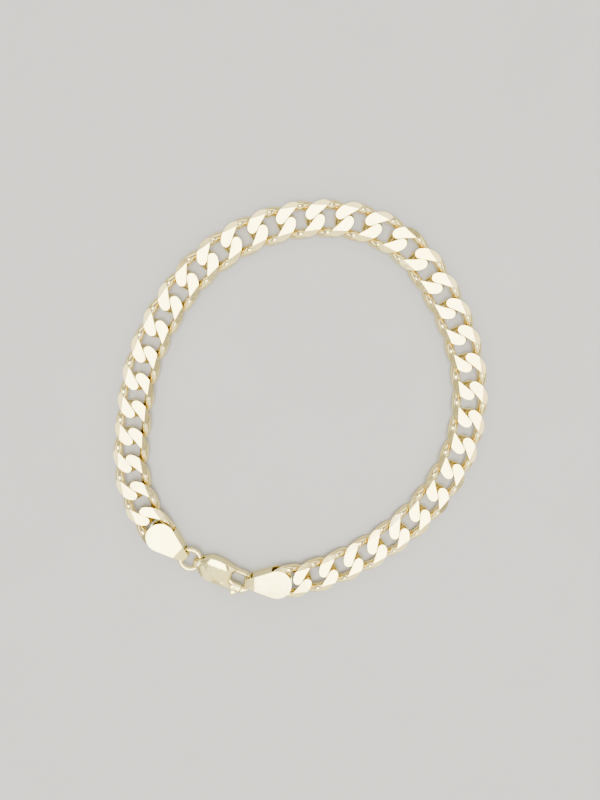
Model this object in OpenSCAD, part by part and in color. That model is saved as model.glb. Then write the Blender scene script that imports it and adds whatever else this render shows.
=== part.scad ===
// Flat curb-link bracelet, closed by a lobster clasp, lying on a level surface.
// Millimetres. +Z is up, the clasp side is -Y, and z = 0 is the surface that it rests on.

/* [Chain] */
// Number of links
link_count = 35; // [33:1:37]
// Distance from one link to the next along the chain
link_pitch = 5.1; // [4.9:0.1:5.5]
// Overall width of a link, across the chain
link_w = 6.4; // [6.2:0.1:6.8]
// Diameter of the wire that the links are made of
wire_d = 1.66; // [1.5:0.02:1.7]
// Thickness of the chain between its two ground faces
link_t = 2.0; // [1.8:0.05:2.1]
// Lengthwise play of a link's end inside its neighbour
link_play = 0.24; // [0.2:0.02:0.4]
// Width of the bevel along each edge of the ground faces
bevel_w = 1.1; // [0.8:0.1:1.3]
// How far that bevel falls towards the edge
bevel_drop = 0.42; // [0.3:0.02:0.5]

/* [End tabs] */
// Width of a tab's round end
tab_w = 5.4; // [5.0:0.1:6.0]
// Distance from the round end's centre to the fold
tab_reach = 6.3; // [6.0:0.1:7.0]
// Width of a tab at its fold
neck_w = 1.3; // [1.1:0.1:1.5]
// Thickness of the strap that a tab is folded from
strap_t = 0.4; // [0.3:0.05:0.5]
// Thickness of the walls that close a tab's sides
wall_t = 0.35; // [0.25:0.05:0.4]
// Play above and below a link between the two plates of a tab
side_play = 0.1; // [0.08:0.01:0.15]
// Diameter of the hidden post that holds the end link
post_d = 1.1; // [1.0:0.1:1.2]

/* [Jump ring] */
// Diameter of the ring's wire
ring_wire_d = 0.9; // [0.8:0.05:1.0]
// Outer diameter of the ring
ring_d = 4.7; // [4.6:0.1:5.2]

/* [Clasp] */
// Overall length of the clasp
clasp_l = 12.0; // [11.6:0.1:12.6]
// Overall width of the clasp's hook
clasp_w = 4.32; // [4.2:0.04:4.6]
// How far the hook's middle lies off the mouth's middle, towards the lever
hook_shift = 0.33; // [0.2:0.01:0.4]
// Length of the hook's open mouth
mouth_l = 3.3; // [3.2:0.1:3.6]
// Play at each side of a tab's fold in the mouth
mouth_play = 0.25; // [0.2:0.01:0.3]
// Width of the rim beyond the mouth's end
rim_w = 0.85; // [0.8:0.05:0.95]
// Height of the hook's rim
rim_h = 1.5; // [1.3:0.05:1.6]
// Height of the eye end
eye_d = 2.4; // [2.3:0.05:2.6]
// Diameter of the hole through the eye end
eye_hole_d = 1.4; // [1.38:0.02:1.5]
// Diameter of the lever's pivot pin
pin_d = 0.7; // [0.6:0.02:0.8]
// Thickness of the lever between the cheeks of the body
lever_t = 1.0; // [0.9:0.05:1.1]
// Reach of the lever's thumb tab outside the hook
thumb_reach = 0.95; // [0.8:0.05:1.3]

/* [Clearances] */
// Gap between pieces that only touch
gap = 0.1; // [0.08:0.01:0.12]
// Radial running clearance of the lever on its pin
pin_gap = 0.05; // [0.03:0.01:0.08]

/* [Hidden] */
CHAIN = [for (i = [1:link_count]) str("link_", i < 10 ? "0" : "", i)];
gold = [0.93, 0.88, 0.74];

// Route of the chain's middle, clockwise from the first link, as laid on the surface
route = [[-27.1, -22.4], [-30.8, -12.9], [-30.3, -2.6], [-28.3, 7.4], [-24.1, 16.5],
         [-17.8, 24.6], [-9.4, 30.3], [0.4, 33.1], [10.5, 32.6], [19.1, 28.2],
         [25.3, 20.1], [29.4, 10.9], [30.9, 0.9], [29.1, -9], [24.2, -17.8],
         [17.1, -24.8], [8.3, -30.1], [-1.3, -33.1], [-11.5, -32.8], [-20.4, -28.6]];
route_steps = 8;

// Link: half length and half width of the wire's middle line, its squareness and twist, and
// the share of its height that is left once it has been pressed
link_a = (link_pitch + link_play + wire_d) / 2;
link_b = (link_w - wire_d) / 2;
link_square = 2.8;
link_twist = 68;
twist_power = 1.5;
link_pressed = 0.8;
link_sides = 16;
wire_sides = 6;

// Heights
tab_h = link_t + 2 * (strap_t + side_play);
mid_z = tab_h / 2;
lift_links = 3;
lift_power = 1.2;

// Tab: where the end link's middle and the post stand from the round end's centre
post_back = 0.45;
post_play = 0.34;
tab_seat = link_a - wire_d / 2 - post_play - post_d / 2 + post_back;
tab_slope = asin(tab_w / 2 / norm([tab_reach, neck_w / 2])) - atan2(neck_w / 2, tab_reach);
fold_r = 1;
wall_start = 1.1;
// Half width of the tab just inside its fold
neck_in = neck_w / 2 + strap_t * tan(tab_slope);
// Where the side walls end, short of the wire or rim inside the fold
rim_room = 0.15;
wall_end = tab_reach - strap_t - 2 * gap - max(ring_wire_d, rim_w + rim_room);
// How far the fold's curve comes in at the edge of a wire or rim of height h inside it
function fold_sag(h) = let (r = fold_r - strap_t, over = max(0, h / 2 - mid_z + fold_r))
    r - sqrt(r * r - over * over);

// Ring: how far its middle stands from the left fold and from the clasp's eye
ring_r = (ring_d - ring_wire_d) / 2;
ring_fold = sqrt(pow(ring_r - ring_wire_d / 2 - gap, 2) - pow(neck_in, 2))
    - fold_sag(ring_wire_d) - strap_t;
eye_w = 1.6;
ring_eye = (ring_r + sqrt(pow(ring_r, 2) - pow(eye_w / 2, 2))) / 2;

// Clasp, along x from the tip of its eye to the end of its hook
hook_r = clasp_w / 2;
mouth_r = neck_in + mouth_play;
mouth_corner = 0.4;
hook_x = clasp_l - hook_r;
eye_x = eye_d / 2;
mouth_end = clasp_l - rim_w;
mouth_x = mouth_end - mouth_l;
lever_side = -hook_r - hook_shift;
// How far the fold stands off the mouth's end, where its corners turn towards the rim
fold_play = 0.38;
hook_fold = mouth_end - hook_x - fold_play - fold_sag(rim_h) - strap_t;

// Lever: its pivot stands behind the mouth, its gate runs from the cheeks to just past the
// hook's middle, and the thumb tab sits at the gate's own middle
pivot_back = 1.3;
pivot = [mouth_x - pivot_back, -mouth_r];
boss_wall = 0.4;
boss_r = pin_d / 2 + boss_wall;
cheek_reach = 0.4;
cheek_x = mouth_x + cheek_reach;
gate_over = 0.15;
gate_end = hook_x + gate_over;
gate_r = norm([gate_end, lever_side] - pivot);
arm_end = cheek_x + 3 * gap;
arm_w = 0.8;
thumb_w = 1.2;
thumb_x = (cheek_x + gate_end) / 2;
slot_h = lever_t + gap;
pin_sunk = 0.15;
pin_fit = 0.01;

// Width of the body: columns are the share of the way to the hook, and of the half width
// on the inner side and on the lever's side, from a line that shifts evenly to the hook's
PLAN = [[0, 0.24, 0.24], [0.05, 0.37, 0.36], [0.1, 0.48, 0.44], [0.2, 0.76, 0.8],
        [0.3, 1.03, 1.03], [0.4, 1.11, 1.1], [0.6, 1.09, 1.07], [0.73, 1.01, 1.05],
        [0.8, 0.97, 1.05], [0.92, 0.98, 1.03]];
// Height of the body: columns are the same share of the way, and of the half height
SIDE = [[0.38, 0.99], [0.46, 1], [0.6, 1], [0.68, 0.93], [0.75, 0.72], [0.81, 0.56]];
section_power = 0.55;
// The oval section is a little wider than the plan, so that the plan keeps its own sides
section_over = 1.15;
arc_steps = 20;

// Stations along the loop: the end links, tabs, ring and clasp follow one another
s_last = (link_count - 1) * link_pitch;
s_tab_right = s_last + tab_seat;
s_hook = s_tab_right + tab_reach + hook_fold;
s_eye = s_hook + hook_x - eye_x;
s_tab_left = s_eye + ring_eye + ring_fold + tab_reach;
loop_l = s_tab_left + tab_seat;

function signed_pow(v, p) = sign(v) * pow(abs(v), p);
function unit(v) = v / norm(v);

// Smooth closed curve through the route's points
function blend(p, q, r, s, t) = 0.5 * (2 * q + (r - p) * t + (2 * p - 5 * q + 4 * r - s) * t * t
                                       + (3 * q - p - 3 * r + s) * t * t * t);
function route_point(i) = route[i % len(route)];
CURVE = [for (i = [0:len(route)], k = [0:route_steps - 1]) if (i < len(route) || k == 0)
    blend(route_point(i + len(route) - 1), route_point(i), route_point(i + 1), route_point(i + 2),
          k / route_steps)];
RUN = [for (i = 0, run = 0; i < len(CURVE); i = i + 1,
            run = run + (i < len(CURVE) ? norm(CURVE[i] - CURVE[i - 1]) : 0)) run];
route_scale = loop_l / RUN[len(RUN) - 1];
RUN_X = [for (i = [0:len(CURVE) - 1]) [RUN[i] * route_scale, CURVE[i].x * route_scale]];
RUN_Y = [for (i = [0:len(CURVE) - 1]) [RUN[i] * route_scale, CURVE[i].y * route_scale]];
function along(s) = let (w = (s + loop_l) % loop_l) [lookup(w, RUN_X), lookup(w, RUN_Y)];

// The clasp lies along the route, with the ring on its axis, and the tabs point at what holds them
eye_at = along(s_eye);
clasp_way = unit(along(s_hook) - eye_at);
hook_at = eye_at + (hook_x - eye_x) * clasp_way;
hold_at = hook_at + (hook_fold + strap_t / 2) * clasp_way;
ring_at = eye_at - ring_eye * clasp_way;

// Puts a piece with its x axis pointing at a target, so that the target is a set reach away
module aimed(from, target, reach, z = 0) {
    way = unit(target - from);
    translate(concat(target - reach * way, z)) rotate([0, 0, atan2(way.y, way.x)]) children();
}

// The end links are held up between the plates of the tabs, and the next ones slope down
function link_lift(i) = (mid_z - link_t / 2)
    * pow(max(0, 1 - min(i - 1, link_count - i) / lift_links), lift_power);
function link_slope(i) = i == 1 || i == link_count || link_lift(i) == 0 ? 0
    : atan((link_lift(i + 1) - link_lift(i - 1)) / (2 * link_pitch));

// Middle line of a link's wire: a rounded rectangle whose ends twist out of its plane
function link_line(t) = let (
    share = signed_pow(cos(t), 2 / link_square),
    w = link_b * signed_pow(sin(t), 2 / link_square),
    twist = -link_twist * signed_pow(share, twist_power))
    [link_a * share, w * cos(twist), link_pressed * w * sin(twist)];

module link_wire() {
    step = 360 / link_sides;
    turn = 360 / wire_sides;
    ring_points = [for (i = [0:link_sides - 1])
        let (t = i * step, c = link_line(t), ahead = link_line(t + step / 2) - link_line(t - step / 2),
             out = unit(cross(ahead, [0, 0, 1])), up = unit(cross(out, ahead)))
        for (k = [0:wire_sides - 1])
            c + wire_d / 2 * (cos(k * turn) * out + sin(k * turn) * up)];
    function at(i, k) = (i % link_sides) * wire_sides + k % wire_sides;
    polyhedron(ring_points, [for (i = [0:link_sides - 1], k = [0:wire_sides - 1])
        each [[at(i, k), at(i + 1, k + 1), at(i + 1, k)], [at(i, k), at(i, k + 1), at(i + 1, k + 1)]]]);
}

// Cross-section left by grinding: two flat faces with a bevel along each edge
module ground_section() {
    face = link_w / 2 - bevel_w;
    low = link_t / 2 - bevel_drop;
    polygon([[face, link_t / 2], [link_w / 2, low], [link_w / 2, -low], [face, -link_t / 2],
             [-face, -link_t / 2], [-link_w / 2, -low], [-link_w / 2, low], [-face, link_t / 2]]);
}

module link(i) {
    s = (i - 1) * link_pitch;
    half = link_pitch / 2;
    way = along(s + half) - along(s - half);
    color(gold) translate(concat(along(s), link_t / 2 + link_lift(i)))
        rotate([0, -link_slope(i), atan2(way.y, way.x)])
            intersection() {
                link_wire();
                rotate([90, 0, 90]) linear_extrude(3 * link_a, center = true) ground_section();
            }
}

// Bar with a rounded end at x = reach, from z = low to z = high
module rounded_end(start, reach, low, high, r) {
    translate([start, low]) square([reach - r - start, high - low]);
    translate([start, low + r]) square([reach - start, high - low - 2 * r]);
    for (z = [low + r, high - r]) translate([reach - r, z]) circle(r, $fn = 48);
}

// Teardrop outline of a tab, drawn in by a margin along its round end and its taper
module teardrop(margin = 0) {
    r = tab_w / 2 - margin;
    tip = neck_w / 2 - margin / cos(tab_slope);
    circle(r, $fn = 96);
    polygon([[0, 0], r * [sin(tab_slope), -cos(tab_slope)], [tab_reach, -tip],
             [tab_reach, tip], r * [sin(tab_slope), cos(tab_slope)]]);
}

// A folded strap with two teardrop plates and side walls, and a post through the end link
module end_tab() {
    color(gold) {
        intersection() {
            rotate([90, 0, 0]) linear_extrude(2 * tab_w, center = true) difference() {
                rounded_end(-tab_w, tab_reach, 0, tab_h, fold_r);
                rounded_end(-2 * tab_w, tab_reach - strap_t, strap_t, tab_h - strap_t, fold_r - strap_t);
            }
            translate([0, 0, -1]) linear_extrude(tab_h + 2) teardrop();
        }
        translate([0, 0, strap_t / 2]) linear_extrude(tab_h - strap_t) intersection() {
            difference() {
                teardrop();
                teardrop(wall_t);
            }
            translate([wall_start, -tab_w]) square([wall_end - wall_start, 2 * tab_w]);
        }
        translate([-post_back, 0, strap_t / 2]) cylinder(d = post_d, h = tab_h - strap_t, $fn = 48);
    }
}

module end_tab_left() aimed(along(s_tab_left), ring_at, tab_reach + ring_fold) end_tab();

module end_tab_right() aimed(along(s_tab_right), hold_at, tab_reach - strap_t / 2) end_tab();

module jump_ring() {
    color(gold) translate(concat(ring_at, mid_z)) rotate_extrude($fn = 96)
        translate([ring_r, 0]) circle(d = ring_wire_d, $fn = 32);
}

// Clasp pieces are drawn from the tip of the eye, with z = 0 halfway up
module on_clasp() {
    aimed(eye_at, hook_at, hook_x, mid_z) children();
}

function arc(middle, r, start, end) = [for (i = [0:arc_steps])
    let (t = start + (end - start) * i / arc_steps) middle + r * [cos(t), sin(t)]];

function plan_point(row, side, share) =
    [row[0] * hook_x, side * share * hook_r - row[0] * hook_shift];

module clasp_plan() {
    polygon(concat([for (row = PLAN) plan_point(row, 1, row[1])],
                   arc([hook_x, -hook_shift], hook_r, 90, -90),
                   [for (i = [len(PLAN) - 1:-1:0]) plan_point(PLAN[i], -1, PLAN[i][2])]));
}

module clasp_side() {
    polygon(concat(arc([eye_x, 0], eye_d / 2, 270, 90),
                   [for (row = SIDE) [row[0] * hook_x, row[1] * mid_z]],
                   [[clasp_l, rim_h / 2], [clasp_l, -rim_h / 2]],
                   [for (i = [len(SIDE) - 1:-1:0]) [SIDE[i][0] * hook_x, -SIDE[i][1] * mid_z]]));
}

module clasp_section() {
    translate([-hook_shift / 2, 0])
        polygon([for (t = [0:15:345]) [section_over * hook_r * signed_pow(cos(t), section_power),
                                       mid_z * signed_pow(sin(t), section_power)]]);
}

// Outline of the open mouth: a rectangle with round corners
module mouth() {
    near = mouth_x + mouth_corner;
    far = mouth_end - mouth_corner;
    side = mouth_r - mouth_corner;
    polygon(concat(arc([far, -side], mouth_corner, -90, 0), arc([far, side], mouth_corner, 0, 90),
                   arc([near, side], mouth_corner, 90, 180), arc([near, -side], mouth_corner, 180, 270)));
}

// Room for the lever between the cheeks, over its whole swing
module lever_slot() {
    room = boss_r + gap;
    translate(pivot) circle(room, $fn = 64);
    translate([pivot.x, -clasp_w]) square([cheek_x + gap - pivot.x, clasp_w + pivot.y + 2 * room]);
    translate([pivot.x - room, -clasp_w]) square([2 * room, clasp_w + pivot.y]);
}

module clasp_body() {
    color(gold) on_clasp() difference() {
        intersection() {
            linear_extrude(2 * mid_z, center = true) clasp_plan();
            rotate([90, 0, 0]) linear_extrude(2 * clasp_w, center = true) clasp_side();
            rotate([90, 0, 90]) linear_extrude(2 * clasp_l, center = true) clasp_section();
        }
        translate([eye_x, 0, 0]) rotate([90, 0, 0])
            cylinder(d = eye_hole_d, h = 2 * clasp_w, center = true, $fn = 64);
        linear_extrude(2 * tab_h, center = true) mouth();
        linear_extrude(slot_h, center = true) lever_slot();
        linear_extrude(2 * tab_h, center = true) intersection() {
            translate(pivot) circle(gate_r + gap, $fn = 128);
            translate([cheek_x, -clasp_w]) square(clasp_w);
        }
        translate(pivot) cylinder(d = pin_d + 2 * pin_fit, h = 2 * tab_h, center = true, $fn = 48);
    }
}

// Rim of the hook on the lever's side, as far as the lever reaches
module gate_plan() {
    intersection() {
        difference() {
            clasp_plan();
            mouth();
        }
        translate(pivot) circle(gate_r, $fn = 128);
        translate([cheek_x + gap, -clasp_w]) square(clasp_w);
    }
}

module clasp_lever() {
    color(gold) on_clasp() difference() {
        union() {
            linear_extrude(lever_t, center = true) {
                translate(pivot) circle(boss_r, $fn = 64);
                polygon([pivot + [0, boss_r], pivot - [0, boss_r], [arm_end, -mouth_r - arm_w],
                         [arm_end, -mouth_r]]);
                translate([thumb_x - thumb_w / 2, lever_side - thumb_reach + thumb_w / 2])
                    square([thumb_w, thumb_reach]);
                translate([thumb_x, lever_side - thumb_reach + thumb_w / 2]) circle(thumb_w / 2, $fn = 48);
            }
            linear_extrude(rim_h, center = true) gate_plan();
        }
        translate(pivot) cylinder(d = pin_d + 2 * pin_gap, h = 2 * lever_t, center = true, $fn = 48);
    }
}

module pivot_pin() {
    color(gold) on_clasp() translate(pivot)
        cylinder(d = pin_d, h = tab_h - 2 * pin_sunk, center = true, $fn = 48);
}

for (i = [1:link_count]) link(i);
end_tab_left();
end_tab_right();
jump_ring();
clasp_body();
clasp_lever();
pivot_pin();
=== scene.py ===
"""Link bracelet in pale gold: links, end tabs, ring and clasp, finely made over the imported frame.

Shapes are worked out in millimetres and put into the meshes in metres."""
import math
from types import SimpleNamespace

import bpy
import numpy as np
from bpy.props import FloatProperty, FloatVectorProperty, IntProperty, PointerProperty
from bpy.types import Operator, Panel, PropertyGroup
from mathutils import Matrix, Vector


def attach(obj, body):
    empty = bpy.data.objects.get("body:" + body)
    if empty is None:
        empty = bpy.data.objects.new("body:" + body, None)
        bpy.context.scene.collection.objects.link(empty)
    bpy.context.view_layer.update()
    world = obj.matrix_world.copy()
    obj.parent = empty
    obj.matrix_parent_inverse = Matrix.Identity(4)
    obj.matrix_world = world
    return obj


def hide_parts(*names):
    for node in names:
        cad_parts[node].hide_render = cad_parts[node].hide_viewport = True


bl_info = {
    "name": "Link bracelet",
    "version": (1, 0, 0),
    "blender": (4, 5, 0),
    "location": "View3D > Sidebar > Bracelet",
    "description": "Makes the links, end tabs, ring and clasp of a bracelet over its frame",
    "category": "Add Mesh",
}

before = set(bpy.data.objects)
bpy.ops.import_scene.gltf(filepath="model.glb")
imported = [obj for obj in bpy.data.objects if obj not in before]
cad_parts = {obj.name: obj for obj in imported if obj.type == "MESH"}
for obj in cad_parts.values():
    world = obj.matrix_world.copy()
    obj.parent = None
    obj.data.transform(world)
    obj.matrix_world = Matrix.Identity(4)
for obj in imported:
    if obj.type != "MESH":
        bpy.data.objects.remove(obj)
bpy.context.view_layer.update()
MM = 0.001

# Route of the chain's middle, clockwise from the first link, and steps between its points
ROUTE = np.array([
    [-27.1, -22.4], [-30.8, -12.9], [-30.3, -2.6], [-28.3, 7.4], [-24.1, 16.5],
    [-17.8, 24.6], [-9.4, 30.3], [0.4, 33.1], [10.5, 32.6], [19.1, 28.2],
    [25.3, 20.1], [29.4, 10.9], [30.9, 0.9], [29.1, -9], [24.2, -17.8],
    [17.1, -24.8], [8.3, -30.1], [-1.3, -33.1], [-11.5, -32.8], [-20.4, -28.6]])
ROUTE_STEPS = 8

# A link: squareness, twist and pressing of the wire's middle line, how far the wire spreads,
# and how many end links are lifted, by what power
SQUARENESS = 2.8
TWIST = math.radians(68)
TWIST_POWER = 1.5
PRESSED = 0.8
SPREAD = 0.14
LIFT_LINKS = 3
LIFT_POWER = 1.2

# Clearances and small sizes in millimetres
GAP = 0.1  # running gap between neighbours
POST_BACK = 0.45  # from the round end's centre back to the post
FOLD_R = 1.0  # outer radius of a tab's fold
WALL_START = 1.1  # from the round end's centre to the side walls
RIM_ROOM = 0.15  # spare room for the hook's rim between the side walls and the fold
EYE_W = 1.6  # width of the eye that the ring goes round
MOUTH_CORNER = 0.4  # radius of the mouth's corners
PIVOT_BACK = 1.3  # from the mouth back to the pin
BOSS_WALL = 0.4  # wall of the lever round its pin
CHEEK_REACH = 0.4  # how far the cheeks reach along the mouth
GATE_OVER = 0.15  # from the hook's middle to the gate's end
ARM_W = 0.8  # width of the lever's arm
PIN_FIT = 0.01  # clearance of the pin in the body
PIN_PLAY = 0.05  # clearance of the pin in the lever
THUMB_OVER = 0.06  # reach that the rounding takes off the thumb tab
STEM_WIDE, STEM_HIGH = 0.85, 0.9  # the thumb tab's stem, in shares of its round end and height
FLARE_SPARE = 0.1  # how far the mouth's bevel is cut past the rim's face, in shares of its width
THROUGH = 3  # half height of the tools that cut right through the clasp
PAST = 1  # how far the tab's tools reach past it

# The clasp's half width on its inner side and on the lever's side, in shares of the hook's half
# width, by the share of the way from the eye's tip to the hook's middle
CLASP_PLAN = np.array([
    [0, 0.24, 0.24], [0.05, 0.37, 0.36], [0.1, 0.48, 0.44], [0.2, 0.76, 0.8], [0.3, 1.03, 1.03],
    [0.4, 1.11, 1.1], [0.6, 1.09, 1.07], [0.73, 1.01, 1.05], [0.8, 0.97, 1.05],
    [0.92, 0.98, 1.03], [1, 1, 1]])
# Its half height, in shares of the fullest, by the same share
CLASP_SIDE = np.array([
    [0.2, 0.88], [0.38, 0.99], [0.46, 1], [0.6, 1], [0.68, 0.93], [0.75, 0.72], [0.81, 0.56],
    [0.9, 0.52]])
# The band that falls from its top: width in millimetres, softness, and the share of the height
# that is left at the edge, by the same share, on the inner side and then on the lever's side
INNER_BAND = np.array([
    [0, 0.3, 0.6, 0.5], [0.1, 0.45, 0.3, 0.7], [0.17, 0.75, 0.1, 0.8], [0.35, 1.05, 0.1, 0.83],
    [0.6, 1.0, 0.1, 0.83], [0.7, 0.8, 0.3, 0.72], [0.8, 0.4, 0.7, 0.6], [1.15, 0.38, 0.7, 0.55]])
LEVER_BAND = np.array([
    [0, 0.3, 0.6, 0.5], [0.1, 0.9, 0.3, 0.5], [0.2, 1.5, 0.2, 0.45], [0.3, 1.8, 0.15, 0.42],
    [0.4, 1.8, 0.15, 0.42], [0.5, 1.35, 0.2, 0.42], [0.64, 0.8, 0.4, 0.42],
    [0.76, 0.5, 0.7, 0.5], [0.84, 0.42, 0.7, 0.55], [1.15, 0.38, 0.7, 0.55]])
# Lean of its top towards the lever's side, in shares of its height for each millimetre, by the
# same share, and the distance from the middle where the lean starts
CLASP_LEAN = np.array([[0.1, 0], [0.25, 0.045], [0.6, 0.045], [0.75, 0]])
LEAN_START = 1.1
# Places along the eye's blunt tip in shares of its half width, where the spine starts, the most
# of the half width that a band may take, and the power that rounds a soft band
NOSE = (0, 0.35, 0.7)
SPINE_START = 0.9
BAND_MOST = 0.92
SOFT_POWER = 0.8

# Fineness: stations along the wire of a link and the ring, sides round it, and steps elsewhere
LINK_STATIONS, LINK_SIDES = 112, 32
RING_STATIONS, RING_SIDES = 128, 32
LINE_STEPS, NUDGE = 2000, 1e-3
ROUND_END_STEPS = 72
GATE_SIDES = 192
STEM_STEPS, SWING_STEPS = 130, 26
TOP_STEPS, FALL_STEPS, WALL_STEPS = 6, 12, 4
KNOB_ROUND, KNOB_HIGH = 48, 25
KNOB_PLAN_POWER, KNOB_SIDE_POWER = 0.9, 0.5

# Softening: points nearer than the first are made one, and edges shorter than the second close
# before easing. Then the grain of the clasp's skin and how often it is smoothed, the width of
# an eased edge and the smallest turn in degrees that is eased, and where a link's shading breaks
SAME_SPOT = 1e-4
SHORT_EDGE = 3e-3
BODY_GRAIN, LEVER_GRAIN, SMOOTHINGS = 0.052, 0.045, 3
TAB_EASE, TAB_TURN = 0.07, 7
PIN_EASE, PIN_TURN = 0.04, 40
LINK_TURN = 25
PAINTED_SHADE_REACH = 0.55  # distance from the neighbour's wire where the painted shade between the links ends

# Gold: turn and stretch of the two sheets of polish marks, share of the slow wave under them,
# their depth in metres, the power that shapes the painted shade between the links, and the span of
# roughness
MARK_SHEETS = ((0.5, (14000, 900, 2500)), (2.1, (900, 14000, 2500)))
WAVE_SHARE = 1.2
MARK_DEPTH = 0.000004
PAINTED_SHADE_POWER = 1.6
SMOOTHEST, ROUGHEST = 0.75, 1.5

# Studio in metres: half width of the floor and its grain's shades, then place, size, colour and
# share of its power for each kind of light, and the room's colour
FLOOR_HALF = 2.0
FLOOR_SHADES = (0.97, 1.03)
KEY_PLACE, KEY_TARGET, KEY_SIZE = (0, -0.12, 1.0), (0, -0.12, 0), (0.7, 0.78)
KEY_COLOUR = (1, 0.99, 0.96)
SIDE_OUT, SIDE_HEIGHT, SIDE_SIZE = 0.82, 0.57, (1.2, 0.4)
SIDE_COLOUR = (1, 0.96, 0.9)
NEAR_PLACE, NEAR_SIZE, NEAR_SHARE = (0, -0.87, 0.53), (1.4, 1.1), 2.0
NEAR_COLOUR = (1, 0.97, 0.9)
ROOM_COLOUR = (0.9, 0.87, 0.8, 1)


def measure(name, text, value):
    """A length setting, given in millimetres and kept in metres."""
    return FloatProperty(name=name, description=text, default=value * MM, unit="LENGTH",
                         precision=5)


def amount(name, text, value, **kind):
    """A number setting of zero or more."""
    return FloatProperty(name=name, description=text, default=value, min=0, **kind)


def tone(name, text, value):
    """A colour setting."""
    return FloatVectorProperty(name=name, description=text, default=value, subtype="COLOR",
                               size=3, min=0, max=1)


class ChainSizes(PropertyGroup):
    """Sizes of the links."""
    count: IntProperty(name="Links", description="Number of links", default=35)
    pitch: measure("Pitch", "Distance from one link to the next", 5.1)
    width: measure("Width", "Overall width of a link", 6.4)
    wire: measure("Wire", "Diameter of the wire that sets the links' size", 1.66)
    round_wire: measure("Round wire", "Diameter of the round wire before pressing", 1.64)
    thickness: measure("Thickness", "Thickness between the two ground faces", 2.0)
    play: measure("Play", "Lengthwise play of a link in its neighbour", 0.24)
    bevel: measure("Bevel", "Width of the bevel along the ground faces", 1.1)
    drop: measure("Bevel drop", "How far the bevel falls towards the edge", 0.42)


class TabSizes(PropertyGroup):
    """Sizes of the end tabs and the ring between a tab and the clasp."""
    width: measure("Width", "Width of the round end", 5.4)
    reach: measure("Reach", "Distance from the round end's centre to the fold", 6.3)
    neck: measure("Neck", "Width at the fold", 1.3)
    strap: measure("Strap", "Thickness of the folded strap", 0.4)
    wall: measure("Wall", "Thickness of the side walls", 0.35)
    play: measure("Play", "Play above and below the end link", 0.1)
    post: measure("Post", "Diameter of the post through the end link", 1.1)
    post_play: measure("Post play", "Play of the end link on the post", 0.34)
    facet: measure("Facet", "How far behind the fold the filed facet starts", 2.1)
    facet_fall: measure("Facet's fall", "How far the facet falls by the fold", 0.3)
    ring_wire: measure("Ring wire", "Diameter of the ring's wire", 0.9)
    ring: measure("Ring", "Outer diameter of the ring", 4.7)


class ClaspSizes(PropertyGroup):
    """Sizes of the clasp."""
    length: measure("Length", "Overall length", 12.0)
    width: measure("Width", "Overall width of the hook", 4.32)
    shift: measure("Hook shift", "How far the hook lies off the mouth's middle", 0.33)
    mouth: measure("Mouth", "Length of the open mouth", 3.3)
    mouth_play: measure("Mouth play", "Play at each side of a fold in the mouth", 0.25)
    fold_play: measure("Fold play", "Play between a fold and the mouth's end", 0.38)
    rim_width: measure("Rim width", "Width of the rim beyond the mouth's end", 0.85)
    rim: measure("Rim", "Height of the hook's rim", 1.5)
    flare: measure("Flare", "Width of the bevel along the mouth's edge", 0.36)
    eye: measure("Eye", "Height of the eye end", 2.4)
    eye_hole: measure("Eye hole", "Diameter of the hole through the eye", 1.4)
    pin: measure("Pin", "Diameter of the pivot pin", 0.7)
    lever: measure("Lever", "Thickness of the lever between the cheeks", 1.0)
    thumb: measure("Thumb tab", "Reach of the thumb tab outside the hook", 0.95)
    thumb_width: measure("Thumb width", "Width of the thumb tab", 1.2)


class GoldFinish(PropertyGroup):
    """Colours and polish of the gold, and the colour of the painted shade between the links."""
    pale: tone("Pale gold", "Colour of the polished faces", (0.93, 0.79, 0.35))
    warm: tone("Warm gold", "Colour that the faces drift to in places", (0.92, 0.75, 0.27))
    clasp_pale: tone("Clasp's pale gold", "Colour of the clasp's faces", (0.92, 0.81, 0.36))
    clasp_warm: tone("Clasp's warm gold", "Colour the clasp drifts to", (0.91, 0.77, 0.28))
    # Painted shade: the dark gold painted between the links, where shade falls there
    painted_shade: tone("Painted Shade", "Colour of the gold deep between the links", (0.40, 0.29, 0.13))
    roughness: amount("Roughness", "Roughness of the polish", 0.11, max=1, subtype="FACTOR")
    marks: amount("Polish marks", "Depth of the fine marks", 0.25, max=1, subtype="FACTOR")


class StageLook(PropertyGroup):
    """The floor and the studio light."""
    floor: tone("Floor", "Colour of the floor", (0.42, 0.415, 0.40))
    key: amount("Key light", "Power of the soft light overhead", 20.0, unit="POWER")
    side: amount("Side lights", "Power of the soft lights at the sides", 4.2, unit="POWER")
    sky: amount("Room light", "Strength of the room's even light", 0.85)
    camera_place: FloatVectorProperty(
        name="Camera", description="Place of the camera", size=3, subtype="TRANSLATION",
        default=(0.0807 * MM, 18.545 * MM, 117.95 * MM))
    camera_tilt: FloatProperty(name="Tilt", description="Tilt of the camera from straight down",
                               default=math.radians(-8.4), subtype="ANGLE")
    lens: FloatProperty(name="Lens", description="Focal length in millimetres", default=29.25)


def in_mm(group):
    """All lengths of a group of sizes in millimetres, and its counts as they are."""
    values = {key: getattr(group, key) for key in group.__annotations__}
    return SimpleNamespace(**{key: v if isinstance(v, int) else v / MM
                              for key, v in values.items()})


def signed_power(value, power):
    """The power of the value's size, with the value's sign."""
    return np.sign(value) * np.abs(value) ** power


def unit(vectors):
    """Vectors of length one."""
    return vectors / np.linalg.norm(vectors, axis=-1, keepdims=True)


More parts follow.
